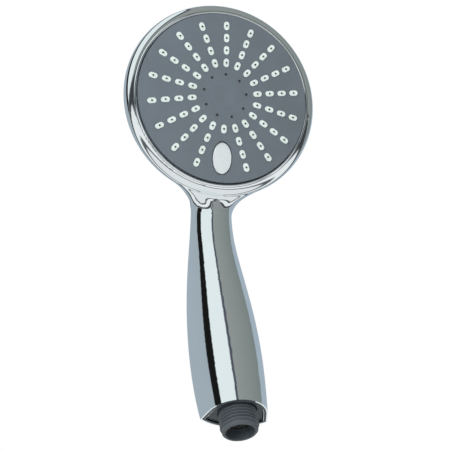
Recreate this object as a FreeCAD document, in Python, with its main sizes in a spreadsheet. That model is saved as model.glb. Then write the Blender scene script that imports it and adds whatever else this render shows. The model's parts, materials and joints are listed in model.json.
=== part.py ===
"""Handheld shower head with a push-button diverter, as a parametric assembly in millimetres.

Frame: the origin is the centre of the inlet's mouth, +Z runs up the inlet and the handle, and the
spray face looks towards -Y and downwards. Pieces of the head are drawn in the head's own frame and
then placed: X to the right, Y down the face towards the handle, Z into the head, with its origin at
the crown of the spray face.
"""

import FreeCAD, Part
import math
import os
import re

import Sketcher
from FreeCAD import Placement, Rotation, Vector

DIMENSIONS = [
    # head: where its crown stands, how far the face leans from the handle, and its shell
    ("head_reach", 58.9), ("head_height", 196.4), ("head_lean", 30.8), ("head_radius", 60.0),
    ("rim_round", 4.7), ("rim_depth", 10.2), ("back_angle", 25.0), ("shell_wall", 2.2),
    # spray face and the ring round it
    ("face_radius", 52.8), ("face_sag", 3.6), ("face_wall", 2.0), ("skirt_wall", 1.5), ("face_gap", 0.4),
    ("bezel_top", 4.9), ("flange_top", 6.9), ("flange_wall", 1.3), ("flange_width", 2.0),
    ("ledge_wall", 2.4), ("ledge_width", 2.0), ("fit_gap", 0.1),
    ("dimple_radius", 6.6), ("dimple_depth", 0.5),
    # nozzles: long pads in rings, and small round jets near the middle
    ("ray_count", 18), ("ring_first", 20.7), ("ring_step", 8.1), ("pad_length", 5.4), ("pad_width", 3.3),
    ("pad_proud", 0.35), ("pad_gap", 0.1), ("tip_radius", 1.05), ("tip_proud", 0.2), ("nozzle_bore", 0.5),
    ("jet_count", 9), ("jet_ring", 13.4), ("jet_radius", 1.25), ("jet_bore", 0.5), ("jet_sunk", 0.15),
    ("mat_wall", 1.6), ("mat_edge", 0.3),
    # chamber behind the nozzles
    ("chamber_edge", 0.3), ("chamber_floor", 9.6), ("chamber_wall", 2.0), ("rim_wall", 2.0),
    ("dam_radius", 16.8), ("dam_wall", 1.6), ("tower_wall", 1.5), ("tower_gap", 0.5),
    ("swirl_wall", 1.4), ("swirl_gap", 0.1), ("seal_band", 1.0), ("seal_squeeze", 0.05),
    ("port_radius", 1.8), ("window_radius", 1.5), ("lane_width", 5.0), ("lane_depth", 3.6), ("channel_wall", 1.5), ("jet_port", 3.0),
    ("nozzle_port", 20.6),
    # button and its valve
    ("button_drop", 38.2), ("button_width", 11.4), ("button_height", 19.2), ("button_gap", 0.6),
    ("button_proud", 0.5), ("button_wall", 2.6), ("button_dome", 55.0), ("button_travel", 3.0),
    ("stop_width", 1.2), ("stop_wall", 1.2), ("slide_gap", 0.3),
    ("stem_radius", 2.0), ("stem_seat", 1.4), ("land_radius", 5.2), ("land_wall", 1.8), ("land_first", 0.8),
    ("land_step", 3.2), ("lid_radius", 7.0), ("lid_wall", 1.6), ("lid_plug", 1.4), ("stem_tail", 0.6),
    ("valve_wall", 1.6), ("valve_depth", 11.2), ("valve_base", 1.3), ("valve_flange", 1.6),
    ("gasket_wall", 0.6), ("ear_side", 10.8), ("ear_rise", 6.5), ("ear_radius", 2.4), ("flange_grow", 4.0),
    ("spring_radius", 3.6), ("spring_wire", 0.8), ("spring_turns", 3),
    ("screw_radius", 1.1), ("screw_head", 2.1), ("screw_bite", 1.5), ("screw_cap", 1.5),
    # water way
    ("port_depth", 19.2), ("socket_reach", 9.0), ("socket_wall", 1.5), ("tube_radius", 5.0),
    ("tube_bore", 3.7), ("tube_bend", 40.0), ("tube_slip", 0.3), ("tube_entry", 8.0), ("o_ring_wire", 1.0),
    # handle: six sections, each with its half width, the height of its corners behind the middle line,
    # and how far its back and front stand from that line
    ("handle_wall", 2.0), ("flank_lean", 15.0), ("bulkhead_height", 19.0), ("bulkhead_wall", 2.0),
    ("end_height", 11.3), ("end_width", 18.8), ("end_corner", 7.0), ("end_back", 13.8), ("end_front", 14.0),
    ("grip_height", 43.0), ("grip_width", 20.8), ("grip_corner", 7.0), ("grip_back", 14.7), ("grip_front", 15.8),
    ("upper_height", 84.0), ("upper_width", 19.2), ("upper_corner", 5.6), ("upper_back", 13.4),
    ("upper_front", 14.8),
    ("throat_height", 118.0), ("throat_width", 15.4), ("throat_corner", 3.0), ("throat_back", 11.6),
    ("throat_front", 12.4),
    ("neck_drop", 63.0), ("neck_depth", 20.0), ("neck_width", 12.7), ("neck_corner", 1.5), ("neck_back", 10.4),
    ("neck_front", 9.6),
    ("saddle_drop", 38.0), ("saddle_depth", 18.6), ("saddle_width", 13.5), ("saddle_corner", 1.5),
    ("saddle_back", 10.8), ("saddle_front", 9.6),
    ("root_drop", 16.0), ("root_depth", 15.2), ("root_width", 12.5), ("root_corner", 1.5), ("root_back", 10.9),
    ("root_front", 9.6),
    # end plate and inlet, with its G 1/2 pipe thread
    ("plate_recess", 1.0), ("plate_wall", 2.4), ("plate_gap", 0.25),
    ("thread_radius", 10.4775), ("thread_root", 9.3155), ("thread_pitch", 1.814), ("thread_land", 0.3),
    ("thread_start", 2.4), ("ridge_count", 5), ("mouth_radius", 9.7), ("mouth_chamfer", 0.6),
    ("inlet_bore", 7.9), ("seat_bore", 7.5), ("seat_depth", 5.6), ("inlet_depth", 9.6), ("shank_radius", 8.2), ("shank_top", 28.0),
    ("collar_radius", 11.4), ("neck_radius", 10.2), ("clip_wall", 1.2), ("clip_radius", 11.0), ("clip_bite", 0.8),
    ("strainer_wall", 1.2), ("strainer_hole", 0.9), ("strainer_step", 2.8), ("regulator_wall", 2.6), ("regulator_pin", 3.0),
    ("regulator_window", 5.2), ("regulator_play", 0.15),
]

doc = FreeCAD.newDocument("hand_shower")
sheet = doc.addObject("Spreadsheet::Sheet", "dims")
for row, (alias, number) in enumerate(DIMENSIONS, 1):
    sheet.set(f"A{row}", alias)
    sheet.set(f"B{row}", str(number))
    sheet.setAlias(f"B{row}", alias)
doc.recompute()
ALIASES = {alias for alias, number in DIMENSIONS}

# Heights and radii that several pieces share, worked out from the cells.
FACE_CURVE = "((face_radius^2 + face_sag^2) / (2 * face_sag))"
MOUTH_RADIUS = "(head_radius - rim_round)"
MAT_TOP = "face_wall"
MAT_BOTTOM = "(face_wall + mat_wall)"
CHAMBER_RADIUS = "(face_radius - skirt_wall - chamber_edge)"
CHAMBER_BACK = "(chamber_floor + chamber_wall)"
FLANGE_BOTTOM = "(flange_top + flange_wall)"
VALVE_TOP = CHAMBER_BACK
VALVE_BACK = f"({VALVE_TOP} + valve_depth + valve_base)"
FLANGE_BACK = f"({VALVE_TOP} + gasket_wall + valve_flange)"
VALVE_BORE = "(land_radius + slide_gap)"
VALVE_RADIUS = f"({VALVE_BORE} + valve_wall)"
SOCKET_END = f"(button_drop + {VALVE_RADIUS} + socket_reach)"
LANE_MIDDLE = f"({VALVE_TOP} + lane_depth / 2 + gasket_wall)"
BEND_DROP = "((head_reach - port_depth * cos(head_lean)) / sin(head_lean))"
BEND_HEIGHT = f"(head_height - cos(head_lean) * {BEND_DROP} + sin(head_lean) * port_depth)"


def size(text):
    """The number that an expression on the sheet's cells comes to."""
    return float(sheet.evalExpression(text))


def bound(text):
    """The same expression as other objects of the document write it."""
    return re.sub(r"[a-z]+(?:_[a-z]+)*", lambda word: "dims." + word[0] if word[0] in ALIASES else word[0], text)


def dome(radius, below="0"):
    """Depth of the face's dome, or of a layer under it, at a radius."""
    return f"({FACE_CURVE} - sqrt(({FACE_CURVE} - {below})^2 - ({radius})^2))"


def bind(thing, **properties):
    """Ties properties of an object to the sheet."""
    for name, text in properties.items():
        thing.setExpression(name.replace("__", "."), bound(text))
    return thing


def body_sketch(body, role, depth=None):
    """A sketch on one of a body's own origin planes, or parallel to it at a depth."""
    sketch = body.newObject("Sketcher::SketchObject", body.Label + "_sketch")
    plane = next(item for item in body.Origin.OriginFeatures if item.Role == role)
    sketch.AttachmentSupport = (plane, "")
    sketch.MapMode = "FlatFace"
    if depth is not None:
        sketch.setExpression(".AttachmentOffset.Base.z", bound(depth))
    return sketch


def pin_point(sketch, edge, end, x, y):
    """Fixes one end of an edge at x, y from the sketch's origin."""
    for kind, text, axis in (("DistanceX", x, -2), ("DistanceY", y, -1)):
        if text == "0":
            sketch.addConstraint(Sketcher.Constraint("PointOnObject", edge, end, axis))
        else:
            place = sketch.addConstraint(Sketcher.Constraint(kind, -1, 1, edge, end, size(text)))
            sketch.setExpression(f"Constraints[{place}]", bound(text))


def draw(sketch, corners, closed=True):
    """A closed outline. A corner (x, y) starts a straight edge; (x, y, radius) starts an arc that turns
    to the left on its way to the next corner, or to the right where the radius has a minus sign; and
    (x, y, "half") starts a half circle to a corner at the same height."""
    points = [Vector(size(corner[0]), size(corner[1]), 0) for corner in corners]
    ends = []
    for number, corner in enumerate(corners if closed else corners[:-1]):
        start, finish = points[number], points[(number + 1) % len(points)]
        if len(corner) == 2:
            edge = sketch.addGeometry(Part.LineSegment(start, finish))
            ends.append((edge, 1, 2))
            continue
        half = corner[2] == "half"
        turn = -1 if corner[2].startswith("-") else 1
        radius = corner[2].lstrip("-")
        chord = finish - start
        reach = chord.Length / 2 if half else size(radius)
        stand_off = math.sqrt(max(reach ** 2 - chord.Length ** 2 / 4, 0))
        centre = (start + finish) / 2 + Vector(-chord.y, chord.x, 0).normalize() * (turn * stand_off)
        first, last = (start, finish) if turn > 0 else (finish, start)
        from_angle = math.atan2(first.y - centre.y, first.x - centre.x)
        to_angle = math.atan2(last.y - centre.y, last.x - centre.x)
        if to_angle < from_angle:
            to_angle += 2 * math.pi
        whole = Part.Circle(centre, Vector(0, 0, 1), reach)
        edge = sketch.addGeometry(Part.ArcOfCircle(whole, from_angle, to_angle))
        if half:
            place = sketch.addConstraint(Sketcher.Constraint("DistanceY", -1, 1, edge, 3, start.y))
            sketch.setExpression(f"Constraints[{place}]", bound(corner[1]))
        else:
            place = sketch.addConstraint(Sketcher.Constraint("Radius", edge, reach))
            sketch.setExpression(f"Constraints[{place}]", bound(radius))
        ends.append((edge, 1, 2) if turn > 0 else (edge, 2, 1))
    for number, (edge, first, last) in enumerate(ends):
        if closed or number + 1 < len(ends):
            following, start, unused = ends[(number + 1) % len(ends)]
            sketch.addConstraint(Sketcher.Constraint("Coincident", edge, last, following, start))
        else:
            pin_point(sketch, edge, last, corners[-1][0], corners[-1][1])
        pin_point(sketch, edge, first, corners[number][0], corners[number][1])


def circle(sketch, radius, x="0", y="0"):
    """A round outline."""
    edge = sketch.addGeometry(Part.Circle(Vector(size(x), size(y), 0), Vector(0, 0, 1), size(radius)))
    place = sketch.addConstraint(Sketcher.Constraint("Radius", edge, size(radius)))
    sketch.setExpression(f"Constraints[{place}]", bound(radius))
    pin_point(sketch, edge, 3, x, y)


def stadium(sketch, y, length, width):
    """A slot with round ends, centred on the sketch's Y axis and standing along it."""
    half = f"({width}) / 2"
    reach = f"(({length}) - ({width})) / 2"
    low, high = f"({y}) - {reach}", f"({y}) + {reach}"
    draw(sketch, [(half, low), (half, high, "half"), (f"-{half}", high), (f"-{half}", low, "half")])


def new_body(label):
    """An empty body with a label of its own."""
    body = doc.addObject("PartDesign::Body", label)
    body.Label = label
    return body


def turned(label, *outlines):
    """A body turned about Z from outlines of (radius, depth) corners."""
    body = new_body(label)
    for corners in outlines:
        sketch = body_sketch(body, "XZ_Plane")
        draw(sketch, corners)
        feature = body.newObject("PartDesign::Revolution", label + "_turn")
        feature.Profile = sketch
        feature.ReferenceAxis = (sketch, ["V_Axis"])
        feature.Angle = 360
    return body


def prism(body, sketch, low, high, cut=False):
    """Pads or cuts a sketch on a body's XY plane from one depth to another."""
    sketch.setExpression(".AttachmentOffset.Base.z", bound(low))
    feature = body.newObject("PartDesign::Pocket" if cut else "PartDesign::Pad", body.Label + "_prism")
    feature.Profile = sketch
    feature.Reversed = cut
    return bind(feature, Length=f"({high}) - ({low})")


def repeat(body, features, count, angle):
    """Turns features about Z, count times over an angle."""
    pattern = body.newObject("PartDesign::PolarPattern", body.Label + "_pattern")
    pattern.Originals = features
    axis = next(item for item in body.Origin.OriginFeatures if item.Role == "Z_Axis")
    pattern.Axis = (axis, [""])
    pattern.setExpression("Occurrences", bound(count))
    pattern.setExpression("Angle", bound(angle))
    body.Tip = pattern
    return pattern


def seal(label, radius, depth, wire="o_ring_wire"):
    """A round-section ring about Z."""
    body = new_body(label)
    sketch = body_sketch(body, "XZ_Plane")
    circle(sketch, f"({wire}) / 2", radius, depth)
    feature = body.newObject("PartDesign::Revolution", label + "_turn")
    feature.Profile = sketch
    feature.ReferenceAxis = (sketch, ["V_Axis"])
    feature.Angle = 360
    return body


def cylinder(label, radius, low, high, x="0", y="0"):
    """A cylinder along Z from one depth to another."""
    rod = doc.addObject("Part::Cylinder", label)
    return bind(rod, Radius=radius, Height=f"({high}) - ({low})", Placement__Base__x=x,
                Placement__Base__y=y, Placement__Base__z=low)


def lying_cylinder(label, radius, low, high, x="0", depth="port_depth"):
    """A cylinder along Y from one drop to another."""
    rod = cylinder(label, radius, low, high, x, low)
    bind(rod, Placement__Base__z=depth)
    rod.Placement.Rotation = Rotation(Vector(1, 0, 0), -90)
    return rod


def box(label, x, y, z):
    """A box between pairs of expressions."""
    block = doc.addObject("Part::Box", label)
    return bind(block, Length=f"({x[1]}) - ({x[0]})", Width=f"({y[1]}) - ({y[0]})",
                Height=f"({z[1]}) - ({z[0]})", Placement__Base__x=x[0], Placement__Base__y=y[0],
                Placement__Base__z=z[0])


def oval(label, grow, low, high):
    """The button's ellipse, grown all round, as a prism from one depth to another."""
    edge = doc.addObject("Part::Ellipse", label + "_edge")
    bind(edge, MajorRadius=f"button_height / 2 + {grow}", MinorRadius=f"button_width / 2 + {grow}",
         Placement__Base__z=low, Placement__Base__y="button_drop")
    edge.Placement.Rotation = Rotation(Vector(0, 0, 1), 90)
    block = doc.addObject("Part::Extrusion", label)
    block.Base = edge
    block.DirMode = "Custom"
    block.Dir = Vector(0, 0, 1)
    block.Solid = True
    return bind(block, LengthFwd=f"({high}) - ({low})")


def joined(label, *things):
    """One solid from several."""
    fusion = doc.addObject("Part::MultiFuse", label)
    fusion.Shapes = list(things)
    fusion.Refine = True
    fusion.Label = label
    return fusion


def cut_from(label, base, *tools):
    """A solid less one or more others."""
    for number, tool in enumerate(tools):
        difference = doc.addObject("Part::Cut", label if number == len(tools) - 1 else f"{label}_cut")
        difference.Base = base
        difference.Tool = tool
        base = difference
    base.Label = label
    return base


def common(label, first, second):
    """What two solids share."""
    overlap = doc.addObject("Part::Common", label)
    overlap.Base = first
    overlap.Tool = second
    overlap.Label = label
    return overlap


def group(label, *solids):
    """Separate solids kept together as one sub-part."""
    compound = doc.addObject("Part::Compound", label)
    compound.Links = list(solids)
    compound.Label = label
    return compound


def place_in_head(thing, drop="0"):
    """Puts a piece that is drawn in the head's frame where the head stands, its axis at a drop down
    the face."""
    bind(thing, Placement__Base__y=f"{drop} * sin(head_lean) - head_reach",
         Placement__Base__z=f"head_height - {drop} * cos(head_lean)")
    thing.Placement.Rotation = Rotation(Vector(1, 0, 0), size("head_lean") - 90)
    thing.setExpression("Placement.Rotation.Angle", bound("90 - head_lean"))
    thing.setExpression("Placement.Rotation.Axis.x", "-1")
    return thing


def dome_arc(below="0"):
    """Radius of the face's dome, or of a layer under it."""
    return f"{FACE_CURVE} - {below}"


def ring_radius(number):
    """Where the middle of a nozzle ring is."""
    return f"(ring_first + {number} * ring_step)"


def ray_sketch(body, number):
    """A sketch whose Y axis is the first ray of a nozzle ring. The button takes the place of one ray's
    outer nozzles, so the outer rings start on the next ray."""
    sketch = body_sketch(body, "XY_Plane")
    if number > 0:
        sketch.setExpression(".AttachmentOffset.Rotation.Angle", bound("360 / ray_count"))
    return sketch


def spread(body, features, number):
    """Repeats features on all the rays of a nozzle ring."""
    if number == 0:
        return repeat(body, features, "ray_count", "360")
    return repeat(body, features, "ray_count - 1", "360 - 720 / ray_count")


def round_prism(body, sketch, radius, y, low, high, cut=False):
    """A round boss or hole at a distance along a sketch's Y axis."""
    circle(sketch, radius, "0", y)
    return prism(body, sketch, low, high, cut)


RINGS = 4
PLATE_INNER = "(face_radius - skirt_wall)"


def make_face_plate():
    """Shallow dome with a skirt, and a flange that the trim ring traps; slots for the nozzles, round
    holes for the small jets and an oval opening for the button."""
    body = turned("face_blank", [
        ("0", "dimple_depth"), ("dimple_radius", dome("dimple_radius"), dome_arc()),
        ("face_radius", dome("face_radius")), ("face_radius", "flange_top"),
        ("face_radius + flange_width", "flange_top"), ("face_radius + flange_width", FLANGE_BOTTOM),
        (PLATE_INNER, FLANGE_BOTTOM),
        (PLATE_INNER, dome(PLATE_INNER, "face_wall"), f"-{dome_arc('face_wall')}"), ("0", MAT_TOP),
    ])
    for number in range(RINGS):
        radius = ring_radius(number)
        sketch = ray_sketch(body, number)
        stadium(sketch, radius, "pad_length + 2 * pad_gap", "pad_width + 2 * pad_gap")
        slot = prism(body, sketch, f"{dome(radius)} - 1", f"{dome(radius, 'face_wall')} + 1", cut=True)
        spread(body, [slot], number)
    hole = round_prism(body, body_sketch(body, "XY_Plane"), "jet_radius + pad_gap", "-jet_ring",
                       "-1", f"{dome('jet_ring', 'face_wall')} + 1", cut=True)
    repeat(body, [hole], "jet_count", "360")
    opening = oval("button_opening", "button_gap", "-1", FLANGE_BOTTOM)
    return [place_in_head(cut_from("face_plate", body, opening))]


def make_nozzle_mat():
    """Soft sheet under the face plate whose nozzles stand through the slots."""
    edge = f"({PLATE_INNER} - mat_edge)"
    body = turned("mat_blank", [
        ("0", MAT_TOP, dome_arc("face_wall")), (edge, dome(edge, "face_wall")),
        (edge, dome(edge, MAT_BOTTOM), f"-{dome_arc(MAT_BOTTOM)}"), ("0", MAT_BOTTOM),
    ])
    for number in range(RINGS):
        radius = ring_radius(number)
        seat, top = f"{dome(radius, 'face_wall')} + mat_wall / 2", f"{dome(radius)} - pad_proud"
        sketch = ray_sketch(body, number)
        stadium(sketch, radius, "pad_length", "pad_width")
        pad = prism(body, sketch, top, seat)
        tip = round_prism(body, ray_sketch(body, number), "tip_radius", radius, f"{top} - tip_proud", seat)
        bore = round_prism(body, ray_sketch(body, number), "nozzle_bore", radius, f"{top} - 1",
                           f"{dome(radius, MAT_BOTTOM)} + 1", cut=True)
        spread(body, [pad, tip, bore], number)
    top = f"{dome('jet_ring')} + jet_sunk"
    jet = round_prism(body, body_sketch(body, "XY_Plane"), "jet_radius", "-jet_ring", top,
                      f"{dome('jet_ring', 'face_wall')} + mat_wall / 2")
    bore = round_prism(body, body_sketch(body, "XY_Plane"), "jet_bore", "-jet_ring", f"{top} - 1",
                       f"{dome('jet_ring', MAT_BOTTOM)} + 1", cut=True)
    repeat(body, [jet, bore], "jet_count", "360")
    opening = oval("mat_opening", "stop_width + tower_gap", "-1", FLANGE_BOTTOM)
    return [place_in_head(cut_from("nozzle_mat", body, opening))]


def make_trim_ring():
    """Bright ring that snaps into the head's mouth over the face plate's flange."""
    inner, outer = "face_radius + face_gap", f"{MOUTH_RADIUS} - fit_gap"
    shoulder = f"bezel_top + ({outer} - ({inner})) / 2"
    return [place_in_head(turned("trim_ring", [
        (inner, shoulder, "half"), (outer, shoulder), (outer, "flange_top"), (inner, "flange_top")]))]


def make_spray_chamber():
    """Cup behind the nozzle mat: a rim and a round dam carry the mat's edges, and an oval tower keeps
    the water off the button."""
    inner = f"({CHAMBER_RADIUS} - rim_wall)"
    middle = "chamber_floor + chamber_wall / 2"
    blank = turned("chamber_blank", [
        (CHAMBER_RADIUS, dome(CHAMBER_RADIUS, MAT_BOTTOM)), (CHAMBER_RADIUS, CHAMBER_BACK),
        ("0", CHAMBER_BACK), ("0", "chamber_floor"),
        (inner, "chamber_floor"), (inner, dome(inner, MAT_BOTTOM), dome_arc(MAT_BOTTOM)),
    ], [
        ("dam_radius", dome("dam_radius", MAT_BOTTOM)), ("dam_radius", middle),
        ("dam_radius - dam_wall", middle),
        ("dam_radius - dam_wall", dome("dam_radius - dam_wall", MAT_BOTTOM), dome_arc(MAT_BOTTOM)),
    ])
    space = turned("chamber_space", [
        ("0", MAT_BOTTOM, dome_arc(MAT_BOTTOM)), (CHAMBER_RADIUS, dome(CHAMBER_RADIUS, MAT_BOTTOM)),
        (CHAMBER_RADIUS, CHAMBER_BACK), ("0", CHAMBER_BACK),
    ])
    tower = common("tower", oval("tower_block", "stop_width + tower_gap + tower_wall", "0", CHAMBER_BACK), space)
    groove = turned("seal_groove", [
        (f"{CHAMBER_RADIUS} - seal_band", "chamber_floor - seal_band"),
        (f"{CHAMBER_RADIUS} + seal_band", "chamber_floor - seal_band"),
        (f"{CHAMBER_RADIUS} + seal_band", "chamber_floor"), (f"{CHAMBER_RADIUS} - seal_band", "chamber_floor")])
    well = oval("tower_well", "stop_width + tower_gap", "0", f"{CHAMBER_BACK} + 1")
    holes = [cylinder("jet_port_hole", "port_radius", "chamber_floor - 1", f"{CHAMBER_BACK} + 1",
                      x="(lane_width + channel_wall) / 2", y="jet_port"),
             cylinder("nozzle_port_hole", "port_radius", "chamber_floor - 1", f"{CHAMBER_BACK} + 1",
                      x="-(lane_width + channel_wall) / 2", y="nozzle_port")]
    holes += screw_places("screw_hole", "screw_radius", f"{CHAMBER_BACK} - screw_bite", f"{CHAMBER_BACK} + 1")
    return [place_in_head(cut_from("spray_chamber", joined("chamber_cup", blank, tower), groove, well, *holes))]


def screw_places(label, radius, low, high):
    """Cylinders at the four screws that hold the valve housing."""
    return [cylinder(label, radius, low, high, x=f"{side} * ear_side", y=f"button_drop + {rise} * ear_rise")
            for side in (-1, 1) for rise in (-1, 1)]


def make_chamber_pieces():
    """What lies in and on the chamber: its edge seal and the swirl plate behind the jets."""
    edge = place_in_head(seal("chamber_seal", f"{CHAMBER_RADIUS} - seal_band / 2", "chamber_floor - seal_band / 2",
                              "seal_band - 2 * seal_squeeze"))
    rim = "(dam_radius - dam_wall - swirl_gap)"
    body = turned("swirl_plate", [
        ("0", MAT_BOTTOM, dome_arc(MAT_BOTTOM)), (rim, dome(rim, MAT_BOTTOM)),
        (rim, f"{dome(rim, MAT_BOTTOM)} + swirl_wall"), ("0", f"{dome(rim, MAT_BOTTOM)} + swirl_wall"),
    ])
    bore = round_prism(body, body_sketch(body, "XY_Plane"), "jet_bore", "-jet_ring", f"{MAT_BOTTOM} - 1",
                       f"{MAT_BOTTOM} + 2 * swirl_wall", cut=True)
    repeat(body, [bore], "jet_count", "360")
    return [edge, place_in_head(body)]


def make_valve_housing():
    """Bore for the diverter under the chamber, with an oval flange, a socket for the water tube and
    two side windows."""
    flange = oval("flange_block", "flange_grow", f"{VALVE_TOP} + gasket_wall", FLANGE_BACK)
    ears = screw_places("ear", "ear_radius", f"{VALVE_TOP} + gasket_wall", FLANGE_BACK)
    barrel = cylinder("valve_barrel", VALVE_RADIUS, f"{VALVE_TOP} + gasket_wall", VALVE_BACK, y="button_drop")
    socket = lying_cylinder("socket_block", "tube_radius + tube_slip + socket_wall", "button_drop", SOCKET_END)
    bore = cylinder("valve_bore", VALVE_BORE, f"{VALVE_TOP} - 1", f"{VALVE_TOP} + valve_depth", y="button_drop")
    socket_bore = lying_cylinder("socket_bore", "tube_radius + tube_slip", f"button_drop + {VALVE_RADIUS}",
                                 f"{SOCKET_END} + 1")
    inflow = lying_cylinder("inflow_bore", "tube_bore", "button_drop", f"{SOCKET_END} + 1")
    ring_groove = lying_cylinder("socket_groove", "tube_radius + tube_slip + o_ring_wire",
                                 f"{SOCKET_END} - 2 * o_ring_wire - seal_squeeze", f"{SOCKET_END} - o_ring_wire")
    windows = [lying_cylinder("window", "window_radius", f"button_drop - {VALVE_RADIUS} - 1", "button_drop",
                              x=f"{side} * (lane_width + channel_wall) / 2", depth=LANE_MIDDLE)
               for side in (-1, 1)]
    holes = screw_places("ear_hole", "screw_radius + slide_gap", f"{VALVE_TOP} - 1", f"{FLANGE_BACK} + 1")
    return [place_in_head(cut_from("valve_housing", joined("housing_block", flange, *ears, barrel, socket),
                                   bore, socket_bore, inflow, ring_groove, *windows, *holes))]


def make_channel_cover():
    """Two covered lanes on the chamber's back, from the valve's windows to the jets' and the nozzles'
    ports."""
    half = "(lane_width + 1.5 * channel_wall)"
    near, end = "(jet_port - port_radius - 2 * channel_wall)", "button_drop"
    block = box("channel_block", (f"-{half}", half), (near, end),
                (VALVE_TOP, f"{VALVE_TOP} + gasket_wall + lane_depth + channel_wall"))
    rib = "channel_wall / 2"
    deep = (f"{VALVE_TOP} - 1", f"{VALVE_TOP} + gasket_wall + lane_depth")
    jet_lane = box("jet_lane", (rib, f"{rib} + lane_width"), (f"{near} + channel_wall", f"{end} + 1"), deep)
    nozzle_lane = box("nozzle_lane", (f"-{rib} - lane_width", f"-{rib}"),
                      ("nozzle_port - port_radius - channel_wall", f"{end} + 1"), deep)
    room = oval("flange_room", "flange_grow + slide_gap", f"{VALVE_TOP} - 1", f"{FLANGE_BACK} + slide_gap")
    barrel = cylinder("barrel_room", f"{VALVE_RADIUS} + slide_gap", f"{VALVE_TOP} - 1", f"{VALVE_BACK} + 1",
                      y="button_drop")
    return [place_in_head(cut_from("channel_cover", block, jet_lane, nozzle_lane, room, barrel))]


def make_valve_pieces():
    """Gasket, lid and stem seal of the valve, and the screws that hold the housing."""
    sheet_gasket = oval("gasket_block", "flange_grow", VALVE_TOP, f"{VALVE_TOP} + gasket_wall")
    gasket = cut_from("housing_gasket", sheet_gasket,
                      cylinder("gasket_hole", VALVE_BORE, f"{VALVE_TOP} - 1", f"{VALVE_TOP} + 2", y="button_drop"))
    lid_top = f"({VALVE_TOP} - lid_wall)"
    passage = "(stem_radius + slide_gap)"
    lid = turned("valve_lid", [
        (passage, lid_top), ("lid_radius", lid_top), ("lid_radius", VALVE_TOP),
        (f"{VALVE_BORE} - fit_gap", VALVE_TOP), (f"{VALVE_BORE} - fit_gap", f"{VALVE_TOP} + lid_plug"),
        (passage, f"{VALVE_TOP} + lid_plug"), (passage, f"{VALVE_TOP} + o_ring_wire / 2"),
        (f"{passage} + o_ring_wire", f"{VALVE_TOP} + o_ring_wire / 2"),
        (f"{passage} + o_ring_wire", f"{VALVE_TOP} - o_ring_wire / 2 - 2 * seal_squeeze"),
        (passage, f"{VALVE_TOP} - o_ring_wire / 2 - 2 * seal_squeeze"),
    ])
    ring = seal("stem_seal", f"{passage} + o_ring_wire / 2", f"{VALVE_TOP} - seal_squeeze", "o_ring_wire - 2 * seal_squeeze")
    shafts = screw_places("screw_shaft", "screw_radius - seal_squeeze",
                          f"{VALVE_TOP} - screw_bite + seal_squeeze", f"{FLANGE_BACK} + fit_gap")
    heads = screw_places("screw_cap_end", "screw_head", FLANGE_BACK, f"{FLANGE_BACK} + screw_cap")
    screws = group("housing_screws", *[joined("screw", *pair) for pair in zip(shafts, heads)])
    return [place_in_head(gasket), place_in_head(lid, "button_drop"), place_in_head(ring, "button_drop"),
            place_in_head(screws)]


def make_button_pieces():
    """Oval button with a stop all round under the face plate, its stem with two lands, the lands'
    rings and the spring that lifts them."""
    crown = f"({dome('button_drop')} - button_proud)"
    stop_top = f"({dome('button_drop + button_height / 2 + stop_width', 'face_wall')} + slide_gap)"
    stop_back = f"({stop_top} + stop_wall)"
    shape = oval("button_block", "0", f"{crown} - 1", stop_back)
    ball = doc.addObject("Part::Sphere", "button_ball")
    bind(ball, Radius="button_dome", Placement__Base__y="button_drop", Placement__Base__z=f"{crown} + button_dome")
    collar = oval("button_stop", "stop_width", stop_top, stop_back)
    seat = cylinder("stem_hole", "stem_radius", f"{stop_back} - stem_seat", f"{stop_back} + 1", y="button_drop")
    cap = cut_from("button_cap", joined("button_solid", common("button_crown", shape, ball), collar), seat)

    first = f"({VALVE_TOP} + lid_plug + land_first)"
    groove = "(land_radius - o_ring_wire)"
    outline = [("0", f"{stop_back} - stem_seat"), ("stem_radius", f"{stop_back} - stem_seat")]
    for number in range(2):
        top = f"({first} + {number} * land_step)"
        lip = f"({top} + (land_wall - o_ring_wire) / 2)"
        outline += [("stem_radius", top), ("land_radius", top), ("land_radius", lip), (groove, lip),
                    (groove, f"{lip} + o_ring_wire"), ("land_radius", f"{lip} + o_ring_wire"),
                    ("land_radius", f"{top} + land_wall"), ("stem_radius", f"{top} + land_wall")]
    outline += [("stem_radius", f"{first} + land_step + land_wall + stem_tail"),
                ("0", f"{first} + land_step + land_wall + stem_tail")]
    stem = turned("valve_stem", outline)
    rings = [seal(f"land_seal_{number}", f"{groove} + o_ring_wire / 2",
                  f"{first} + {number} * land_step + land_wall / 2", "o_ring_wire - 2 * seal_squeeze")
             for number in range(2)]

    low, high = f"({stop_back} + spring_wire / 2)", f"({VALVE_TOP} - lid_wall - spring_wire / 2)"
    spring = new_body("button_spring")
    wire = body_sketch(spring, "XZ_Plane")
    circle(wire, "spring_wire / 2 - seal_squeeze", "spring_radius", low)
    coil = spring.newObject("PartDesign::AdditiveHelix", "button_spring_coil")
    coil.Profile = wire
    coil.ReferenceAxis = (wire, ["V_Axis"])
    coil.Mode = 2
    coil.setExpression("Turns", bound("spring_turns"))
    bind(coil, Height=f"{high} - {low}")
    return [place_in_head(cap), place_in_head(stem, "button_drop"),
            place_in_head(group("stem_seals", *rings), "button_drop"), place_in_head(spring, "button_drop")]


def head_point(drop, depth):
    """Row (Y, Z) of a point given by its drop down the face and its depth in the head."""
    return (f"(({drop}) * sin(head_lean) + ({depth}) * cos(head_lean) - head_reach)",
            f"(head_height - ({drop}) * cos(head_lean) + ({depth}) * sin(head_lean))")


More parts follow.
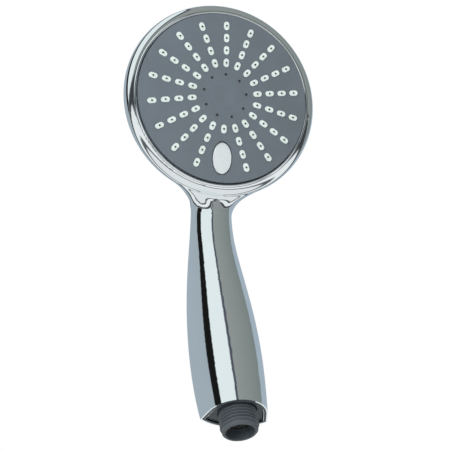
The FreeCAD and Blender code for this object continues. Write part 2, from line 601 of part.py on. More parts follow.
def make_water_tube():
    """Tube from the inlet up the handle, bent once towards the valve, with a seal at each end."""
    tangent = "(tube_bend * tan(head_lean / 2))"
    start = "(shank_top - tube_entry + slide_gap)"
    body = new_body("water_tube")
    route = body_sketch(body, "YZ_Plane")
    draw(route, [("0", start), ("0", f"{BEND_HEIGHT} - {tangent}", "tube_bend"),
                 head_point(f"{BEND_DROP} - {tangent}", "port_depth"),
                 head_point(f"button_drop + {VALVE_RADIUS} + slide_gap", "port_depth")], closed=False)
    section = body_sketch(body, "XY_Plane", start)
    circle(section, "tube_radius")
    circle(section, "tube_bore")
    pipe = body.newObject("PartDesign::AdditivePipe", "water_tube_pipe")
    pipe.Profile = section
    pipe.Spine = (route, [])
    foot = seal("tube_foot_seal", "tube_radius + tube_slip + o_ring_wire / 2", FOOT_SEAL,
                "o_ring_wire - 2 * seal_squeeze")
    top = seal("tube_top_seal", "tube_radius + tube_slip + o_ring_wire / 2", "0", "o_ring_wire - 2 * seal_squeeze")
    y, z = head_point(f"{SOCKET_END} - 1.5 * o_ring_wire - seal_squeeze / 2", "port_depth")
    bind(top, Placement__Base__y=y, Placement__Base__z=z)
    top.Placement.Rotation = Rotation(Vector(1, 0, 0), size("head_lean"))
    top.setExpression("Placement.Rotation.Angle", bound("head_lean"))
    return [body, foot, top]


def make_inlet():
    """Threaded inlet whose collar is trapped between the handle's bulkhead and the end plate."""
    outline = [("mouth_radius - mouth_chamfer", "0"), ("mouth_radius", "mouth_chamfer"),
               ("mouth_radius", "thread_start - mouth_chamfer"), ("thread_root", "thread_start")]
    for number in range(int(size("ridge_count"))):
        middle = f"(thread_start + {number + 0.5} * thread_pitch)"
        outline += [("thread_root", f"{middle} - (thread_pitch - thread_land) / 2"),
                    ("thread_radius", f"{middle} - thread_land / 2"),
                    ("thread_radius", f"{middle} + thread_land / 2"),
                    ("thread_root", f"{middle} + (thread_pitch - thread_land) / 2")]
    clip_low = "(bulkhead_height + bulkhead_wall)"
    outline += [
        ("thread_root", f"end_height + plate_recess - mouth_chamfer"), ("neck_radius", "end_height + plate_recess - mouth_chamfer"),
        ("neck_radius", PLATE_TOP), ("collar_radius", PLATE_TOP), ("collar_radius", "bulkhead_height"),
        ("shank_radius", "bulkhead_height"), ("shank_radius", clip_low),
        ("shank_radius - clip_bite", clip_low), ("shank_radius - clip_bite", f"{clip_low} + clip_wall"),
        ("shank_radius", f"{clip_low} + clip_wall"), ("shank_radius", "shank_top"),
        (SOCKET_BORE, "shank_top"), (SOCKET_BORE, f"{FOOT_SEAL} + o_ring_wire / 2"),
        (f"{SOCKET_BORE} + o_ring_wire", f"{FOOT_SEAL} + o_ring_wire / 2"),
        (f"{SOCKET_BORE} + o_ring_wire", f"{FOOT_SEAL} - o_ring_wire / 2"),
        (SOCKET_BORE, f"{FOOT_SEAL} - o_ring_wire / 2"), (SOCKET_BORE, "shank_top - tube_entry"),
        ("tube_bore", "shank_top - tube_entry"), ("tube_bore", "inlet_depth"), ("seat_bore", "inlet_depth"),
        ("seat_bore", "seat_depth"), ("inlet_bore", "seat_depth"), ("inlet_bore", "0"),
    ]
    spigot = turned("inlet_spigot", outline)
    clip_outer = "clip_radius"
    clip = turned("inlet_clip", [
        ("shank_radius - clip_bite + fit_gap", clip_low), (clip_outer, clip_low),
        (clip_outer, f"{clip_low} + clip_wall - fit_gap"),
        ("shank_radius - clip_bite + fit_gap", f"{clip_low} + clip_wall - fit_gap")])
    slit = box("clip_slit", ("0", "2 * clip_radius"), ("-shank_radius * 0.6", "shank_radius * 0.6"),
               (f"{clip_low} - 1", f"{clip_low} + clip_wall + 1"))
    clip = cut_from("spigot_clip", clip, slit)
    edge = "(seat_bore - fit_gap)"
    seat = "(inlet_depth - regulator_wall)"
    regulator = turned("flow_regulator", [
        ("regulator_pin", f"{seat}"), (edge, seat), (edge, "inlet_depth"), ("tube_bore", "inlet_depth"),
        ("tube_bore", f"{seat} + regulator_wall / 2"), ("regulator_pin", f"{seat} + regulator_wall / 2")])
    strainer = turned("strainer", [
        ("0", f"{seat} - strainer_wall"), (edge, f"{seat} - strainer_wall"), (edge, seat), ("0", seat)])
    for ring_number, count in ((1, 6), (2, 12)):
        hole = round_prism(strainer, body_sketch(strainer, "XY_Plane"), "strainer_hole",
                           f"{ring_number} * strainer_step", f"{seat} - 2 * strainer_wall", f"{seat} + 1", cut=True)
        repeat(strainer, [hole], str(count), "360")
    return [spigot, clip, regulator, strainer]


def shield(sketch, width, corner, back, front, inset="0"):
    """Handle section: an arched front, flanks that lean outwards to two corners, and a low arched back.
    An inset draws the section of the hollow inside."""
    wide, high = f"({width} - 1.3 * {inset})", f"({corner} - 0.25 * {inset})"
    rear, fore = f"({back} - {inset})", f"({front} - {inset})"
    rise = f"({rear} - {high})"
    back_arc = f"({wide}^2 + {rise}^2) / (2 * {rise})"
    front_arc = f"(({wide} - ({high} + {fore}) * tan(flank_lean)) / (1 / cos(flank_lean) - tan(flank_lean)))"
    side = f"{front_arc} * cos(flank_lean)"
    foot = f"{front_arc} * (1 - sin(flank_lean)) - {fore}"
    draw(sketch, [(wide, high, back_arc), (f"-{wide}", high), (f"-({side})", foot, front_arc), (side, foot)])


STRAIGHT_SECTIONS = ["end", "grip", "upper", "throat"]
HEAD_SECTIONS = ["neck", "saddle", "root"]


def handle_loft(label, inset, drop="0"):
    """The handle's outside, or the hollow inside it, through its seven sections."""
    body = new_body(label)
    sketches = []
    for name in STRAIGHT_SECTIONS + HEAD_SECTIONS:
        sketch = body_sketch(body, "XY_Plane")
        y, z = "0", f"{name}_height"
        if name in HEAD_SECTIONS:
            y, z = head_point(f"{name}_drop", f"{name}_depth")
            sketch.AttachmentOffset = Placement(Vector(0, 0, 0), Rotation(Vector(1, 0, 0), size("head_lean")))
            sketch.setExpression(".AttachmentOffset.Rotation.Angle", bound("head_lean"))
        if name == "end":
            z = f"{z} - {drop}"
        sketch.setExpression(".AttachmentOffset.Base.y", bound(y))
        sketch.setExpression(".AttachmentOffset.Base.z", bound(z))
        shield(sketch, f"{name}_width", f"{name}_corner", f"{name}_back", f"{name}_front", inset)
        sketches.append(sketch)
    loft = body.newObject("PartDesign::AdditiveLoft", label + "_loft")
    loft.Profile = sketches[0]
    loft.Sections = sketches[1:]
    return body


def bowl(label, inset, top):
    """The head's rounded rim and back, or the hollow inside it, open to a depth at its mouth."""
    bend = f"(rim_round - {inset})"
    rim = f"({MOUTH_RADIUS} + {bend} * sin(back_angle))"
    rim_back = f"(rim_depth + {bend} * cos(back_angle))"
    sweep = f"({rim} / sin(back_angle))"
    corners = [(MOUTH_RADIUS, f"rim_depth - {bend}", bend), (rim, rim_back, sweep),
               ("0", f"{rim_back} + {sweep} * (1 - cos(back_angle))")]
    corners += [("0", f"rim_depth - {bend}")] if top is None else [("0", top), (MOUTH_RADIUS, top)]
    return place_in_head(turned(label, corners))


def make_shower_body():
    """Chromed shell of the head and handle in one, with a ledge for the face plate's flange and a
    bulkhead that the inlet passes through."""
    outer = joined("body_outside", bowl("bowl_outside", "0", None), handle_loft("handle_outside", "0"))
    hollow = handle_loft("handle_hollow", "handle_wall", "handle_wall")
    shell = cut_from("body_shell", outer, bowl("bowl_hollow", "shell_wall", "-1"), hollow)
    ledge = place_in_head(turned("ledge", [
        (f"{MOUTH_RADIUS} - ledge_width", FLANGE_BOTTOM),
        (f"{MOUTH_RADIUS} + rim_round - shell_wall / 2", FLANGE_BOTTOM),
        (f"{MOUTH_RADIUS} + rim_round - shell_wall / 2", f"{FLANGE_BOTTOM} + ledge_wall"),
        (f"{MOUTH_RADIUS} - ledge_width", f"{FLANGE_BOTTOM} + ledge_wall")]))
    slab = common("bulkhead_slab", handle_loft("handle_section", "handle_wall / 2"),
                  cylinder("bulkhead_block", "2 * grip_width", "bulkhead_height", "bulkhead_height + bulkhead_wall"))
    bulkhead = cut_from("bulkhead", slab, cylinder("shank_hole", "shank_radius + slide_gap", "bulkhead_height - 1",
                                                   "bulkhead_height + bulkhead_wall + 1"))
    return [joined("shower_body", shell, ledge, bulkhead)]


def make_end_plate():
    """Plate in the handle's open end, cut to its section, that carries the inlet's collar."""
    body = new_body("end_plate_blank")
    sketch = body_sketch(body, "XY_Plane")
    shield(sketch, "end_width", "end_corner", "end_back", "end_front", "(handle_wall + plate_gap)")
    prism(body, sketch, "end_height + plate_recess", PLATE_TOP)
    return [cut_from("end_plate", body, cylinder("plate_hole", "thread_radius + plate_gap", "0", f"{PLATE_TOP} + 1"))]


PLATE_TOP = "(end_height + plate_recess + plate_wall)"
SOCKET_BORE = "(tube_radius + tube_slip)"
FOOT_SEAL = "(shank_top - 2 * o_ring_wire)"

parts = []
for make in (make_shower_body, make_trim_ring, make_face_plate, make_nozzle_mat, make_spray_chamber,
             make_chamber_pieces, make_channel_cover, make_valve_housing, make_valve_pieces,
             make_button_pieces, make_water_tube, make_inlet, make_end_plate):
    parts += make()
doc.recompute()

faults = [item.Label for item in doc.Objects if "Invalid" in item.State or "Error" in item.State]
faults += [part.Label for part in parts if part.Shape.isNull() or not part.Shape.isValid()]
if faults:
    raise RuntimeError(f"these failed: {faults}")
os.makedirs("parts", exist_ok=True)
for part in parts:
    part.Shape.exportStep(f"parts/{part.Label}.step")
    print(f"{part.Label}: {len(part.Shape.Solids)} solids, {part.Shape.Volume:.1f} mm3")
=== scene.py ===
"""Looks of a handheld shower head: its chromed shell, spray face, nozzles, button and threaded inlet.

Lengths are written in millimetres and turned to metres as each mesh is made. Pieces of the head are
worked out in the head's own frame: X to the right, Y down the face towards the handle and Z into the
head, with its origin at the crown of the spray face.
"""

import json
import math

import bpy
import numpy as np
from mathutils import Matrix, Vector
from mathutils.bvhtree import BVHTree


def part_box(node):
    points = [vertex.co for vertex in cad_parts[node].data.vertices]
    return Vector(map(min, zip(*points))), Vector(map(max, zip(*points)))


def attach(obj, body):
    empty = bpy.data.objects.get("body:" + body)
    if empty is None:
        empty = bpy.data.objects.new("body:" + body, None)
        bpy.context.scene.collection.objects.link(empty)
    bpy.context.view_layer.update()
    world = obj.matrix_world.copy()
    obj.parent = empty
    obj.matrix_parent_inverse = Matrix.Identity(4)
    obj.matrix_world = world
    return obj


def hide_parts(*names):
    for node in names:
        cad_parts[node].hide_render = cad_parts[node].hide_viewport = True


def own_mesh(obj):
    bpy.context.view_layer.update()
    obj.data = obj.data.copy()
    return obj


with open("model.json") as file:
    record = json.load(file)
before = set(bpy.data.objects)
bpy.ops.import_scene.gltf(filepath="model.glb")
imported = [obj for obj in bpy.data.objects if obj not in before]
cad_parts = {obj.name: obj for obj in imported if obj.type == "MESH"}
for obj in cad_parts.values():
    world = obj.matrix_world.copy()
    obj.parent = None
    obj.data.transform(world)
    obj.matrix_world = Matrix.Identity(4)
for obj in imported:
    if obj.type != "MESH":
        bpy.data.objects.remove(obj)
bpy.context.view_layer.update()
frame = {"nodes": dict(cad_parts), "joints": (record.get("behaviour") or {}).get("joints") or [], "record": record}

MM = 0.001
TAU = 2 * math.pi

# ---------------------------------------------------------------- sizes, in millimetres

HEAD_RADIUS = 60.0
RIM_ROUND = 4.7
RIM_DEPTH = 10.2
BACK_ANGLE = math.radians(25)
MOUTH_RADIUS = HEAD_RADIUS - RIM_ROUND
FACE_RADIUS = 52.8
FACE_SAG = 3.6
FACE_CURVE = (FACE_RADIUS ** 2 + FACE_SAG ** 2) / (2 * FACE_SAG)
SEAL_DEPTH = 9.1
BUTTON_DROP = 38.2

# ---------------------------------------------------------------- frames of the object

press = next(joint for joint in frame["joints"] if joint["name"] == "button_press")
INTO_HEAD = np.array(press["axis"], float)
INTO_HEAD /= np.linalg.norm(INTO_HEAD)
RIGHT = np.array([1.0, 0.0, 0.0])
DOWN_FACE = np.cross(INTO_HEAD, RIGHT)
seal_low, seal_high = (np.array(corner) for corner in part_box("chamber_seal"))
CROWN = (seal_low + seal_high) / 2 - INTO_HEAD * SEAL_DEPTH * MM


def from_head(points):
    """Row positions in metres of points given in the head's frame in millimetres."""
    points = np.asarray(points, float)
    axes = np.stack([RIGHT, DOWN_FACE, INTO_HEAD])
    return CROWN + MM * points @ axes


def to_head(points):
    """The other way round: places in the head's frame in millimetres, from row positions in metres."""
    return (np.asarray(points, float) - CROWN) @ np.stack([RIGHT, DOWN_FACE, INTO_HEAD]).T / MM


def from_row(points):
    """Row positions in metres of points given in the row's frame in millimetres."""
    return MM * np.asarray(points, float)


# ---------------------------------------------------------------- meshes from arrays

def grid_faces(rows, columns):
    """Quads of a grid of rows of points, each row closed on itself."""
    row, column = np.meshgrid(np.arange(rows - 1), np.arange(columns), indexing="ij")
    near, far = column, (column + 1) % columns
    quads = np.stack([row * columns + near, row * columns + far,
                      (row + 1) * columns + far, (row + 1) * columns + near], axis=-1)
    return quads.reshape(-1, 4)


def cap_faces(ring, centre, flip):
    """Triangles from a ring of point numbers to one centre point."""
    following = np.roll(ring, -1)
    ends = (following, ring) if flip else (ring, following)
    return np.stack([ends[0], ends[1], np.full(len(ring), centre)], axis=-1)


def outward(points, faces):
    """The faces turned so that the closed shape they bound has a positive volume."""
    volume = 0.0
    for group in faces:
        corners = points[group]
        for second in range(1, group.shape[1] - 1):
            volume += np.einsum("ij,ij->i", corners[:, 0],
                                np.cross(corners[:, second], corners[:, second + 1])).sum()
    return faces if volume > 0 else [group[:, ::-1] for group in faces]


def shell(rings, first_pole=None, last_pole=None, closed=False):
    """Points and faces of a stack of rings (rows, columns, 3), with poles closing its ends, or with its
    last ring joined to its first."""
    rows, columns = rings.shape[:2]
    points = rings.reshape(-1, 3)
    faces = [grid_faces(rows, columns)]
    if closed:
        last, start = (rows - 1) * columns + np.arange(columns), np.arange(columns)
        faces.append(np.stack([last, np.roll(last, -1), np.roll(start, -1), start], axis=-1))
    for pole, ring, flip in ((first_pole, np.arange(columns), True),
                             (last_pole, (rows - 1) * columns + np.arange(columns), False)):
        if pole is not None:
            faces.append(cap_faces(ring, len(points), flip))
            points = np.vstack([points, pole])
    return points, faces


def merged(parts):
    """Several (points, faces) put in one list."""
    all_points, all_faces, start = [], [], 0
    for points, faces in parts:
        all_points.append(points)
        all_faces += [group + start for group in faces]
        start += len(points)
    return np.vstack(all_points), all_faces


CREASE = math.radians(40)  # edges sharper than this stay sharp


def add_piece(name, points, faces, body, slot, material, replaces=()):
    """A mesh object in metres that rides on a body and takes a material; sharp edges stay sharp."""
    mesh = bpy.data.meshes.new(name)
    mesh.from_pydata(points.tolist(), [], [face for group in faces for face in group.tolist()])
    mesh.polygons.foreach_set("use_smooth", [True] * len(mesh.polygons))
    mesh.set_sharp_from_angle(angle=CREASE)
    mesh.materials.append(material)
    mesh.update()
    piece = bpy.data.objects.new(name, mesh)
    bpy.context.scene.collection.objects.link(piece)
    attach(piece, body)
    if replaces:
        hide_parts(*replaces)
    return piece


def turned(profile, columns, axis_at):
    """A closed profile of (radius, depth) points turned about a line into the head: x and y run round a
    circle of that radius about the line."""
    profile = np.asarray(profile, float)
    angle = np.linspace(0, TAU, columns, endpoint=False)
    rings = np.stack([profile[:, :1] * np.cos(angle) + axis_at[0],
                      profile[:, :1] * np.sin(angle) + axis_at[1],
                      np.repeat(profile[:, 1:], columns, axis=1)], axis=-1)
    points, faces = shell(rings, closed=True)
    points = from_head(points)
    return points, outward(points, faces)


# ---------------------------------------------------------------- materials

NOISE_DETAIL = 3.0
CLOUD_SCALE = 60
CLOUD_EDGES = (0.3, 0.7)


class Value:
    """A shader socket that adds Math nodes when it is used in an expression."""

    def __init__(self, nodes, socket):
        self.nodes, self.socket = nodes, socket

    def _math(self, operation, *values):
        return self.nodes.add("ShaderNodeMath", {"operation": operation}, list(values))

    def __add__(self, other):
        return self._math("ADD", self, other)

    def __mul__(self, other):
        return self._math("MULTIPLY", self, other)

    __radd__, __rmul__ = __add__, __mul__

    def clamped(self, low, high):
        """0 up to low, 1 from high, and smooth between."""
        return self.nodes.add("ShaderNodeMapRange", {"interpolation_type": "SMOOTHSTEP"},
                              [self, low, high, 0, 1])


class Nodes:
    """Adds nodes to a node tree."""

    def __init__(self, tree):
        self.tree = tree
        tree.nodes.clear()

    def add(self, kind, settings=None, inputs=None, output=0):
        """One node: its settings first, then the values or links of its sockets, and one output."""
        node = self.tree.nodes.new(kind)
        for name, setting in (settings or {}).items():
            if name == "stops":
                ramp = node.color_ramp
                while len(ramp.elements) < len(setting):
                    ramp.elements.new(0.5)
                for element, (place, colour) in zip(ramp.elements, setting):
                    element.position, element.color = place, (*colour, 1)
            else:
                setattr(node, name, setting)
        pairs = inputs.items() if isinstance(inputs, dict) else enumerate(inputs or [])
        for key, given in pairs:
            if isinstance(given, Value):
                self.tree.links.new(given.socket, node.inputs[key])
            else:
                node.inputs[key].default_value = given
        return Value(self, node.outputs[output])

    def close(self, kind, surface):
        """The tree's output node."""
        self.tree.links.new(surface.socket, self.tree.nodes.new(kind).inputs["Surface"])

    def noise(self, scale):
        """Noise on Object coordinates, 0 to 1, with its scale in features per metre."""
        place = self.add("ShaderNodeTexCoord", output="Object")
        return self.add("ShaderNodeTexNoise",
                        inputs={"Vector": place, "Scale": scale, "Detail": NOISE_DETAIL})

    def bump(self, height, distance):
        """A normal tilted by a height in metres."""
        return self.add("ShaderNodeBump", inputs={"Height": height, "Distance": distance, "Strength": 1.0})

    def mix(self, share, first, second):
        """A colour between two, by a share."""
        return self.add("ShaderNodeMix", {"data_type": "RGBA"}, {0: share, 6: first, 7: second}, output=2)


def material(name, colour, roughness, metallic=0.0, grain=0.0, grain_scale=900, mottle=0.0, rough_mottle=0.0):
    """A finish with a colour that varies a little, a fine grain and an uneven gloss."""
    finish = bpy.data.materials.new(name)
    finish.use_nodes = True
    nodes = Nodes(finish.node_tree)
    shader = {"Metallic": metallic}
    cloud = nodes.noise(CLOUD_SCALE)
    dark = tuple(channel * (1 - mottle) for channel in colour)
    shader["Base Color"] = nodes.mix(cloud.clamped(*CLOUD_EDGES), (*dark, 1), (*colour, 1))
    shader["Roughness"] = cloud * rough_mottle + (roughness - rough_mottle / 2)
    if grain:
        shader["Normal"] = nodes.bump(nodes.noise(grain_scale), grain)
    surface = nodes.add("ShaderNodeBsdfPrincipled", inputs=shader)
    nodes.close("ShaderNodeOutputMaterial", surface)
    return finish


FINISHES = {
    "chrome": material("polished_chrome", (0.93, 0.95, 0.96), 0.04, metallic=1.0, rough_mottle=0.02,
                       mottle=0.02),
    "face_grey": material("satin_grey_plastic", (0.118, 0.143, 0.166), 0.36, grain=0.00002, mottle=0.06,
                          rough_mottle=0.06),
    "silicone": material("pale_silicone", (0.62, 0.71, 0.68), 0.52, grain=0.00003, grain_scale=1500,
                         mottle=0.06),
    "button_satin": material("satin_silver_coating", (0.56, 0.61, 0.62), 0.34, grain=0.00001,
                             grain_scale=4000, mottle=0.03, rough_mottle=0.05),
    "inlet_dark": material("dark_grey_plastic", (0.07, 0.084, 0.095), 0.4, grain=0.00002, mottle=0.12,
                           rough_mottle=0.1),
    "inner_white": material("natural_acetal", (0.7, 0.7, 0.68), 0.45, grain=0.00002, mottle=0.05),
    "inner_black": material("black_moulded_plastic", (0.03, 0.03, 0.03), 0.5, grain=0.00003, mottle=0.2),
    "seal_rubber": material("black_rubber", (0.02, 0.02, 0.02), 0.65, grain=0.00003, mottle=0.2),
    "stainless": material("stainless_steel", (0.55, 0.55, 0.55), 0.25, metallic=1.0, rough_mottle=0.1,
                          mottle=0.05),
}

for part in frame["record"]["subparts"]:
    solid = frame["nodes"][part["node"]]
    solid.data.materials.clear()
    solid.data.materials.append(FINISHES[part["material_slot"]])


# ---------------------------------------------------------------- neck flare

# The ring where the flare leaves the handle, then how far round and along the head it lands: its
# spread to each side, its length in front of the rim's widest line and its length behind it.
FLARE_DROP = 70.0
FLARE_DEPTH = 19.6
FLARE_SPREAD = math.radians(28)
FLARE_FRONT = -1.5
FLARE_BACK = 9.0
# How far its skins stand off the shell, and how full the cubics are for the width that they span.
FLARE_PROUD = 0.03
FLARE_WALL = 0.6
FULLNESS = 1.15
FRONT_TURN = 6.0
LANDING_STEP = 0.03
NECK_REACH = 40.0
FLARE_ROWS = 28
FLARE_COLUMNS = 128
RIM_TURN = math.pi / 2 - BACK_ANGLE
BACK_RADIUS = (MOUTH_RADIUS + RIM_ROUND * math.cos(RIM_TURN)) / math.sin(BACK_ANGLE)
BACK_CENTRE = RIM_DEPTH + RIM_ROUND * math.sin(RIM_TURN) - BACK_RADIUS * math.cos(BACK_ANGLE)


def bowl_point(azimuth, along, proud):
    """Point of the head's outside, by its angle from straight down the face and the length along its
    outline from the rim's widest line: an arc round the rim, then the long arc of the back."""
    rim_length = RIM_ROUND * RIM_TURN
    turn = along / RIM_ROUND
    tilt = BACK_ANGLE - (along - rim_length) / BACK_RADIUS
    on_rim = along < rim_length
    radius = np.where(on_rim, MOUTH_RADIUS + (RIM_ROUND + proud) * np.cos(turn),
                      (BACK_RADIUS + proud) * np.sin(tilt))
    depth = np.where(on_rim, RIM_DEPTH + (RIM_ROUND + proud) * np.sin(turn),
                     BACK_CENTRE + (BACK_RADIUS + proud) * np.cos(tilt))
    return np.stack([radius * np.sin(azimuth), radius * np.cos(azimuth), depth], axis=-1)


cad_shell = frame["nodes"]["shower_body"].data
handle_skin = BVHTree.FromPolygons([vertex.co for vertex in cad_shell.vertices],
                                   [polygon.vertices for polygon in cad_shell.polygons])


def neck_ring(drop, around, proud):
    """Outermost points of the handle at a drop down the face, seen from its middle line."""
    middle = from_head([[0, drop, FLARE_DEPTH]])[0]
    rays = np.sin(around)[:, None] * RIGHT + np.cos(around)[:, None] * INTO_HEAD
    hits = [handle_skin.ray_cast(Vector(middle + ray * NECK_REACH * MM), Vector(-ray), NECK_REACH * MM)[0]
            for ray in rays]
    outwards = np.stack([np.sin(around), np.zeros(len(around)), np.cos(around)], axis=-1)
    return to_head(hits) + outwards * proud


def flare_skin(around, proud):
    """Curves from the neck to the head, each leaving along the handle and landing along the head's
    outside: cubics between the two ends with those slopes."""
    start, before = neck_ring(FLARE_DROP, around, proud), neck_ring(FLARE_DROP + 1, around, proud)
    share = ((1 + np.cos(around)) / 2) ** 3

    def landing(spread):
        return bowl_point(FLARE_SPREAD * np.sin(around) * spread,
                          FLARE_FRONT + (FLARE_BACK - FLARE_FRONT) * share * spread
                          + (1 - spread) * FRONT_TURN, proud)

    end, inside = landing(1.0), landing(1.0 - LANDING_STEP)
    chord = np.linalg.norm(end - start, axis=1, keepdims=True) * FULLNESS
    leave = (start - before) / np.linalg.norm(start - before, axis=1, keepdims=True) * chord
    land = (end - inside) / np.linalg.norm(end - inside, axis=1, keepdims=True) * chord
    t = np.linspace(0, 1, FLARE_ROWS)[:, None, None]
    return ((2 * t ** 3 - 3 * t ** 2 + 1) * start + (t ** 3 - 2 * t ** 2 + t) * leave
            + (3 * t ** 2 - 2 * t ** 3) * end + (t ** 3 - t ** 2) * land)


around = np.linspace(0, TAU, FLARE_COLUMNS, endpoint=False)
outer, inner = flare_skin(around, FLARE_PROUD), flare_skin(around, -FLARE_WALL)
points, faces = shell(np.concatenate([outer, inner[::-1]]), closed=True)
points = from_head(points)
add_piece("neck_flare", points, outward(points, faces), "root", "chrome", FINISHES["chrome"])

# ---------------------------------------------------------------- foot of the handle

# The foot's outline, and the dark edge that covers the inner part of the shell's flat end.
END_HEIGHT = 11.3
END_WIDTH = 18.8
END_CORNER = 7.0
END_BACK = 13.8
END_FRONT = 14.0
FLANK_LEAN = math.radians(15)
LIP_WIDTH = 0.75
SHELL_INNER = 2.05
EDGE_PROUD = 0.04
EDGE_ROOT = 0.4
OUTLINE_COLUMNS = 360
EDGE_ON = 1e-3
FAR = 1e3


def end_outline(inset, around):
    """Outline of the handle's foot, by direction from its middle: a long arc at the back, two leaning
    flanks and a front arc that both flanks run into."""
    slope = math.tan(FLANK_LEAN)
    front = (END_WIDTH - (END_CORNER + END_FRONT) * slope) / (1 / math.cos(FLANK_LEAN) - slope)
    front_middle = front - END_FRONT
    rise = END_BACK - END_CORNER
    back = (END_WIDTH ** 2 + rise ** 2) / (2 * rise)
    back_middle = END_BACK - back
    side, ahead = np.abs(np.sin(around)), np.cos(around)
    on_back = ahead * back_middle + np.sqrt((back - inset) ** 2 - (side * back_middle) ** 2)
    within = np.maximum((front - inset) ** 2 - (side * front_middle) ** 2, 0)
    on_front = ahead * front_middle + np.sqrt(within)
    facing = side * math.cos(FLANK_LEAN) - ahead * math.sin(FLANK_LEAN)
    level = END_WIDTH * math.cos(FLANK_LEAN) - END_CORNER * math.sin(FLANK_LEAN) - inset
    on_flank = np.where(facing > EDGE_ON, level / np.maximum(facing, EDGE_ON), FAR)
    flat = on_flank * ahead > front_middle - (front - inset) * math.sin(FLANK_LEAN)
    reach = np.minimum(on_back, np.where(flat, on_flank, on_front))
    return np.stack([reach * np.sin(around), reach * ahead], axis=-1)


around = np.linspace(0, TAU, OUTLINE_COLUMNS, endpoint=False)
stack = [(SHELL_INNER, END_HEIGHT + EDGE_ROOT), (SHELL_INNER, END_HEIGHT - EDGE_PROUD),
         (LIP_WIDTH, END_HEIGHT - EDGE_PROUD), (LIP_WIDTH, END_HEIGHT + EDGE_ROOT)]
rings = np.stack([np.column_stack([end_outline(inset, around), np.full(len(around), height)])
                  for inset, height in stack])
points, faces = shell(rings, closed=True)
points = from_row(points)
add_piece("end_plate_edge", points, outward(points, faces), "root", "inlet_dark", FINISHES["inlet_dark"])

# ---------------------------------------------------------------- nozzle and jet mouths, and the painted shade inside them

RAYS = 18
RINGS = 4
RING_FIRST = 20.7
RING_STEP = 8.1
TIP_PROUD = 0.55
JETS = 9
JET_RING = 13.4
MOUTH_PROUD = 0.04
MOUTH_ROOT = 1.0
NOZZLE_COLUMNS, COLLAR_COLUMNS, JET_COLUMNS = 12, 20, 16


def face_depth(radius):
    """Depth of the domed face at a radius."""
    return FACE_CURVE - math.sqrt(FACE_CURVE ** 2 - radius ** 2)


def small_rings(places, profile, columns):
    """The same closed profile turned at each place of the face, from its depth there."""
    return [turned([(radius, face_depth(math.hypot(*place)) + depth) for radius, depth in profile], columns,
                   place) for place in places]


nozzle_places = []
for ray in range(RAYS):
    for ring in range(1 if ray == 0 else RINGS):
        radius, angle = RING_FIRST + ring * RING_STEP, TAU * ray / RAYS
        nozzle_places.append((radius * math.sin(angle), radius * math.cos(angle)))
jet_places = [(JET_RING * math.sin(TAU * jet / JETS), -JET_RING * math.cos(TAU * jet / JETS))
              for jet in range(JETS)]

# Painted shade of each nozzle's bore: a dark ring in the black plastic's colour, standing a little off its tip.
bore_painted_shade = [(radius, depth - TIP_PROUD) for radius, depth in
         [(0.28, MOUTH_ROOT), (0.28, -MOUTH_PROUD), (0.62, -MOUTH_PROUD), (0.62, MOUTH_ROOT)]]
add_piece("nozzle_bore_painted_shade", *merged(small_rings(nozzle_places, bore_painted_shade, NOZZLE_COLUMNS)), "root", "inner_black",
          FINISHES["inner_black"])
# Grey collar over each small jet's soft rim, and inside it a dark ring of painted shade for the jet's mouth.
collar = [(0.82, 0.2), (0.86, -0.03), (1.45, -0.02), (1.5, 0.2)]
add_piece("jet_collars", *merged(small_rings(jet_places, collar, COLLAR_COLUMNS)), "root", "face_grey",
          FINISHES["face_grey"])
jet_painted_shade_profile = [(0.3, 0.4), (0.3, 0.09), (0.85, 0.09), (0.85, 0.2)]
add_piece("jet_mouth_painted_shade", *merged(small_rings(jet_places, jet_painted_shade_profile, JET_COLUMNS)), "root", "inner_black",
          FINISHES["inner_black"])

# ---------------------------------------------------------------- button spring

SPRING_RADIUS = 3.6
SPRING_WIRE = 0.33
SPRING_TURNS = 3
STEPS_PER_TURN = 36
WIRE_COLUMNS = 12


def spring_coil(top, end):
    """A wire's round section carried along a screw line between two depths."""
    turn = np.linspace(0, TAU * SPRING_TURNS, STEPS_PER_TURN * SPRING_TURNS + 1)[:, None]
    around = np.linspace(0, TAU, WIRE_COLUMNS, endpoint=False)[None, :]
    radius = SPRING_RADIUS + SPRING_WIRE * np.cos(around)
    depth = top + SPRING_WIRE + (end - top - 2 * SPRING_WIRE) * turn / (TAU * SPRING_TURNS)
    rings = np.stack([radius * np.cos(turn), BUTTON_DROP + radius * np.sin(turn),
                      depth + SPRING_WIRE * np.sin(around)], axis=-1)
    points, faces = shell(rings, rings[:1].mean(axis=1), rings[-1:].mean(axis=1))
    return from_head(points), faces


spring_depths = to_head([vertex.co for vertex in frame["nodes"]["button_spring"].data.vertices])[:, 2]
points, faces = spring_coil(spring_depths.min(), spring_depths.max())
spring = add_piece("press_spring", points, outward(points, faces), "root", "stainless", FINISHES["stainless"],
                   replaces=["button_spring"])
spring_seat = from_head([[0, BUTTON_DROP, spring_depths.max()]])[0]
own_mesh(spring)

# ---------------------------------------------------------------- studio

CAMERA_PLACE = (-183.3, 203.65, -618.05)
CAMERA_FORWARD = (0.28288, 0.71050, 0.64436)
CAMERA_UP = (-0.08805, -0.64973, 0.75507)
CAMERA_LENS = 89.46
FLOOR_HEIGHT = -0.9
BACKDROP_PLACE = 1.6
STAGE_HALF = 4.0
PAPER = (0.8, 0.8, 0.8, 1)
WHITE = (1, 1, 1, 1)
SENSOR = 36.0
LAMP_AIM = (0, -0.03, 0.12)
HORIZON = (-0.16, -0.12)
PLAIN_LIGHT = 0.62

